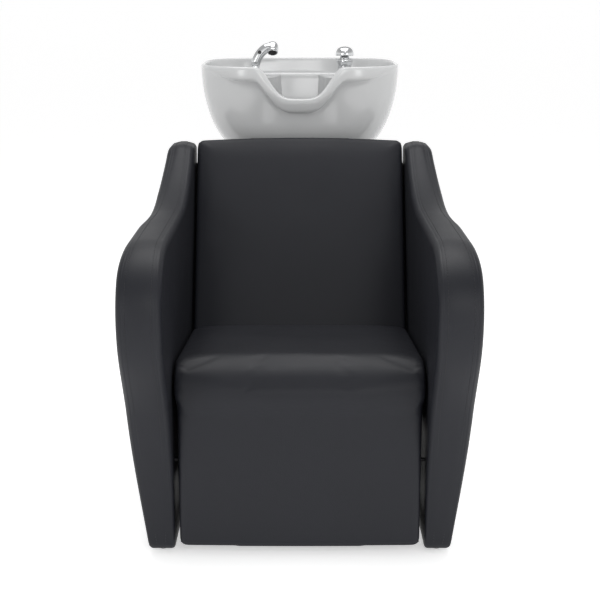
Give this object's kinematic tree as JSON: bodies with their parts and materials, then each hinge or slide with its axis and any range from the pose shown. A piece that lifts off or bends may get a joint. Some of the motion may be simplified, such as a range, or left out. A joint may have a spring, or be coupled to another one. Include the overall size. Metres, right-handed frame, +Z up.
{
  "type": "shampoo backwash unit",
  "caption": "Upholstered shampoo armchair with a tilting white ceramic basin behind the backrest, with mixer tap, hand spray and waste trap on a rear pedestal.",
  "frame": {"origin": "on the floor under the middle of the overall width and depth", "axes": "+Z up, +Y from the seat's front towards the basin, +X to the right of someone facing the seat"},
  "size_m": [0.696, 1.3286, 1.0252],
  "materials": {
    "vinyl": "satin charcoal vinyl-coated fabric over foam",
    "ceramic": "white glazed ceramic",
    "chrome": "polished chrome",
    "black_steel": "satin black powder coat",
    "zinc_steel": "zinc-plated steel",
    "plywood": "birch plywood",
    "rubber": "black rubber",
    "white_plastic": "white polypropylene",
    "black_plastic": "black nylon"
  },
  "bodies": {
    "chair": {"access_panel": "black_steel", "arm_bolt_front_left": "zinc_steel", "arm_bolt_front_right": "zinc_steel", "arm_bolt_rear_left": "zinc_steel", "arm_bolt_rear_right": "zinc_steel", "arm_core_left": "plywood", "arm_core_right": "plywood", "arm_cover_left": "vinyl", "arm_cover_right": "vinyl", "back_board": "plywood", "back_cushion": "vinyl", "back_frame": "black_steel", "base_frame": "black_steel", "column": "black_steel", "friction_washer_left": "white_plastic", "friction_washer_right": "white_plastic", "front_apron": "vinyl", "glide_front_left": "black_plastic", "glide_front_right": "black_plastic", "glide_rear_left": "black_plastic", "glide_rear_right": "black_plastic", "level_foot_front_left": "black_plastic", "level_foot_front_right": "black_plastic", "level_foot_rear_left": "black_plastic", "level_foot_rear_right": "black_plastic", "lock_sleeve": "zinc_steel", "panel_screw_high_left": "zinc_steel", "panel_screw_high_right": "zinc_steel", "panel_screw_low_left": "zinc_steel", "panel_screw_low_right": "zinc_steel", "pedestal_shell": "black_steel", "pivot_bolt_left": "zinc_steel", "pivot_bolt_right": "zinc_steel", "rear_panel": "vinyl", "seat_board": "plywood", "seat_cushion": "vinyl"},
    "basin_assembly": {"basin": "ceramic", "basin_bracket": "black_steel", "basin_pad_front": "rubber", "basin_pad_rear": "rubber", "waste_flange": "chrome", "waste_gasket": "rubber", "waste_nut": "white_plastic", "trap_body": "white_plastic", "trap_nut": "white_plastic", "mixer_body": "chrome", "mixer_nut": "zinc_steel", "holder_nut": "zinc_steel", "spray_holder": "chrome"},
    "drain_strainer": {"strainer": "chrome"},
    "mixer_ring": {"mixer_swivel": "chrome"},
    "mixer_cap": {"mixer_lever": "chrome"},
    "hand_spray": {"spray_handle": "chrome", "spray_face": "rubber"},
    "spray_trigger": {"spray_button": "black_plastic"},
    "tilt_lock": {"lock_lever": "zinc_steel", "lock_knob": "black_plastic"}
  },
  "joints": [
    {"name": "basin_tilt", "type": "hinge", "parent": "chair", "child": "basin_assembly", "pos_m": [0, 0.40427, 0.69], "axis": [1, 0, 0], "range_deg": [-10, 2]},
    {"name": "tilt_lock_turn", "type": "hinge", "parent": "chair", "child": "tilt_lock", "pos_m": [0.16, 0.40427, 0.69], "axis": [-1, 0, 0], "range_deg": [0, 60]},
    {"name": "strainer_lift", "type": "slide", "parent": "basin_assembly", "child": "drain_strainer", "axis": [0, 0, 1], "range_m": [0, 0.06]},
    {"name": "mixer_temperature", "type": "hinge", "parent": "basin_assembly", "child": "mixer_ring", "pos_m": [0.122, 0.56027, 0.934], "axis": [0, 0, 1], "range_deg": [-50, 50]},
    {"name": "mixer_flow", "type": "hinge", "parent": "mixer_ring", "child": "mixer_cap", "pos_m": [0.122, 0.56027, 0.9914], "axis": [-1, 0, 0], "range_deg": [0, 15]},
    {"name": "spray_pull", "type": "slide", "parent": "basin_assembly", "child": "hand_spray", "axis": [0, 0, 1], "range_m": [0, 0.09]},
    {"name": "spray_button_press", "type": "slide", "parent": "hand_spray", "child": "spray_trigger", "axis": [0, 1, 0], "range_m": [0, 0.002], "stiffness_N_per_m": 800}
  ]
}
